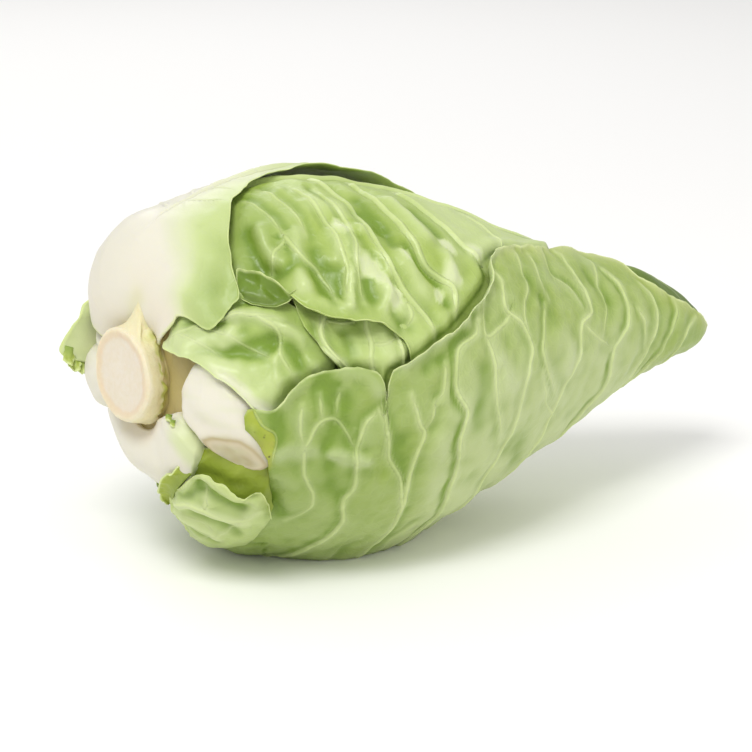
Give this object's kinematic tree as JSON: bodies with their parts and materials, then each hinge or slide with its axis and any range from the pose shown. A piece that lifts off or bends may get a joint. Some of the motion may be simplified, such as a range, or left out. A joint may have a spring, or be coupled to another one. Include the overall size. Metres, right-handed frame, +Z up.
{
  "type": "pointed cabbage",
  "caption": "Whole pointed cabbage lying on its side: cut stem, firm inner head and loose overlapping outer leaves that taper to a tip.",
  "frame": {"origin": "on the surface it rests on, at the middle of the flattened patch under the widest part of the head", "axes": "+X along the head from the cut stem to the tip, +Z up, the head lying on its side"},
  "size_m": [0.2595, 0.1342, 0.1314],
  "materials": {
    "leaf_green": "fresh green cabbage leaf with a thin waxy bloom, satin",
    "leaf_pale": "pale green cabbage leaf, smoother and glossier",
    "leaf_base": "thick white leaf base, moist satin",
    "stem": "cream cut stem with a pinkish beige ring, matt"
  },
  "bodies": {
    "root": {"stem": "stem", "inner_head": "leaf_pale", "front_wrap_leaf": "leaf_green", "back_wrap_leaf": "leaf_green", "crinkled_top_leaf": "leaf_green", "under_leaf": "leaf_pale", "torn_side_leaf": "leaf_pale", "folded_flap": "leaf_green", "upper_leaf": "leaf_pale", "trimmed_base": "leaf_base", "lower_base": "leaf_base", "crumpled_leaf": "leaf_green", "back_leaf": "leaf_pale", "torn_back_end": "leaf_pale", "rear_base": "leaf_base"}
  },
  "joints": []
}
